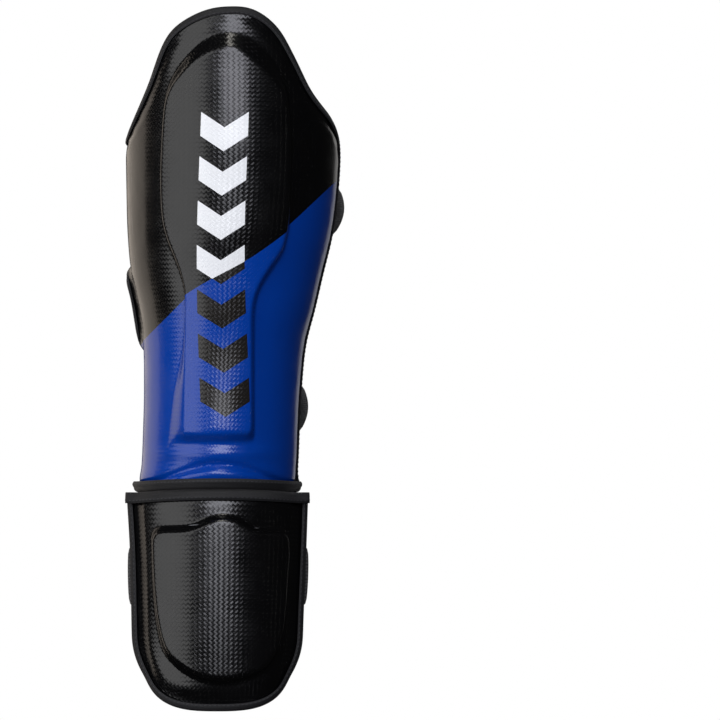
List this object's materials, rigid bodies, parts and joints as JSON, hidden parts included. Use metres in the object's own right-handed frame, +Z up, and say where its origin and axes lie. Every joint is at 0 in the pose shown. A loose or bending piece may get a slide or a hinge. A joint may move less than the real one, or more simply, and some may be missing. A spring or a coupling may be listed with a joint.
{
  "type": "shin and instep guard",
  "caption": "Padded shin section with a raised panel and side wings, a padded instep section hinged at the ankle, hook-and-loop calf straps and an elastic foot strap.",
  "frame": {"origin": "on the axis of the wearer's lower leg, level with the toe edge of the instep section", "axes": "+Z up the leg towards the knee, the guard's front faces -Y, +X to the right as seen from the front"},
  "size_m": [0.1584, 0.1547, 0.5016],
  "materials": {
    "cover": "glossy embossed synthetic leather, black above and blue below a diagonal",
    "instep_cover": "glossy embossed black synthetic leather",
    "foam": "moulded closed-cell foam",
    "dense_foam": "dense closed-cell foam",
    "lining": "matt knitted lining",
    "binding": "folded woven edge tape, sewn",
    "webbing": "woven webbing",
    "hook_and_loop": "hook and loop tape",
    "elastic": "ribbed elastic"
  },
  "bodies": {
    "shin": {"shin_cover": "cover", "shin_impact_foam": "dense_foam", "shin_foam": "foam", "shin_lining": "lining", "shin_binding": "binding", "shin_hem_binding": "binding", "ankle_hinge_strip": "elastic", "upper_strap_anchor": "webbing", "lower_strap_anchor": "webbing", "upper_loop_patch": "hook_and_loop", "lower_loop_patch": "hook_and_loop"},
    "upper_strap": {"upper_strap": "webbing", "upper_hook_tape": "hook_and_loop"},
    "lower_strap": {"lower_strap": "webbing", "lower_hook_tape": "hook_and_loop"},
    "instep": {"instep_cover": "instep_cover", "instep_impact_foam": "dense_foam", "instep_foam": "foam", "instep_lining": "lining", "instep_binding": "binding", "instep_hem_binding": "binding", "foot_strap": "elastic", "foot_strap_patch_left": "instep_cover", "foot_strap_patch_right": "instep_cover"}
  },
  "joints": [
    {"name": "ankle_fold", "type": "hinge", "parent": "shin", "child": "instep", "pos_m": [-0.0055, -0.0622, 0.155], "axis": [-1, 0, 0], "range_deg": [0, 75], "deforming": ["ankle_hinge_strip"]},
    {"name": "upper_strap_open", "type": "hinge", "parent": "shin", "child": "upper_strap", "pos_m": [0.07353, 0.0029, 0.356], "axis": [-0.1265, 0.0098, -0.9919], "range_deg": [0, 80]},
    {"name": "lower_strap_open", "type": "hinge", "parent": "shin", "child": "lower_strap", "pos_m": [0.04835, 0.00432, 0.215], "axis": [-0.0527, 0.0034, -0.9986], "range_deg": [0, 80]}
  ]
}
